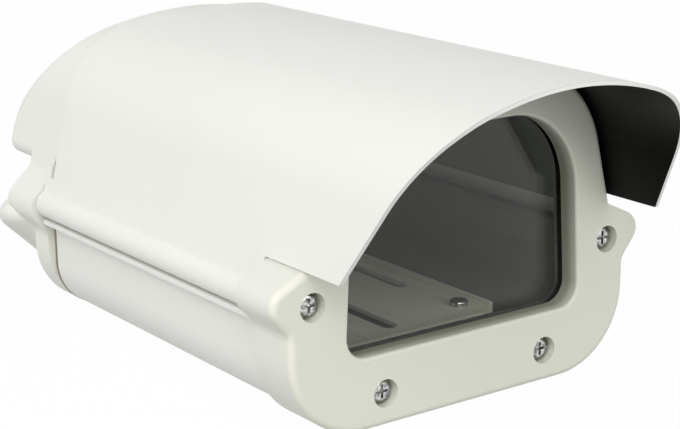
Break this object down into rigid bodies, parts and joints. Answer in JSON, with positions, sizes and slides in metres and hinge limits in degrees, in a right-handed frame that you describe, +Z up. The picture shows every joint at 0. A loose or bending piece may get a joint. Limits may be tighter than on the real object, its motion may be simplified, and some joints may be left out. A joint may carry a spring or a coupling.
{
  "type": "security camera housing",
  "caption": "Weatherproof outdoor enclosure for a surveillance camera with a glazed front, a side-hinged arched cover, a sun hood and a rear end cap.",
  "frame": {"origin": "middle of the two mounting holes on the underside of the lower shell", "axes": "+Z up, -Y towards the window, X across, the hinge side at -X"},
  "size_m": [0.162, 0.2865, 0.1214],
  "materials": {
    "shell": "satin",
    "cover": "satin",
    "bezel": "satin",
    "end_cap": "satin",
    "glass": "polished",
    "seal": "matte",
    "steel": "brushed",
    "screw": "polished",
    "washer": "satin",
    "tray": "satin",
    "gland": "matte"
  },
  "bodies": {
    "base": {"lower_shell": "shell", "front_bezel": "bezel", "rear_cap": "end_cap", "window_glass": "glass", "window_gasket": "seal", "front_end_gasket": "seal", "rear_end_gasket": "seal", "front_arch_seal": "seal", "rear_arch_seal": "seal", "rail_seal": "seal", "gland_seals": "seal", "glass_retainer": "steel", "retainer_screws": "screw", "bezel_screws": "screw", "bezel_washers": "washer", "rear_cap_screws": "screw", "rear_cap_washers": "washer", "camera_tray": "tray", "tray_screws": "screw", "mount_bar": "steel", "mount_bar_screws": "screw", "lock_screws": "screw", "lock_washers": "washer", "gland_bodies": "gland", "gland_dome_nuts": "gland", "gland_locknuts": "gland", "gland_plugs": "gland"},
    "cover": {"top_cover": "cover"},
    "camera_slide": {"camera_bolt": "screw", "camera_keeper": "washer"}
  },
  "joints": [
    {"name": "cover_hinge", "type": "hinge", "parent": "base", "child": "cover", "pos_m": [-0.069, 0, 0.0445], "axis": [0, -1, 0], "range_deg": [0, 70]},
    {"name": "camera_slide", "type": "slide", "parent": "base", "child": "camera_slide", "axis": [0, 1, 0], "range_m": [-0.055, 0.045]}
  ]
}
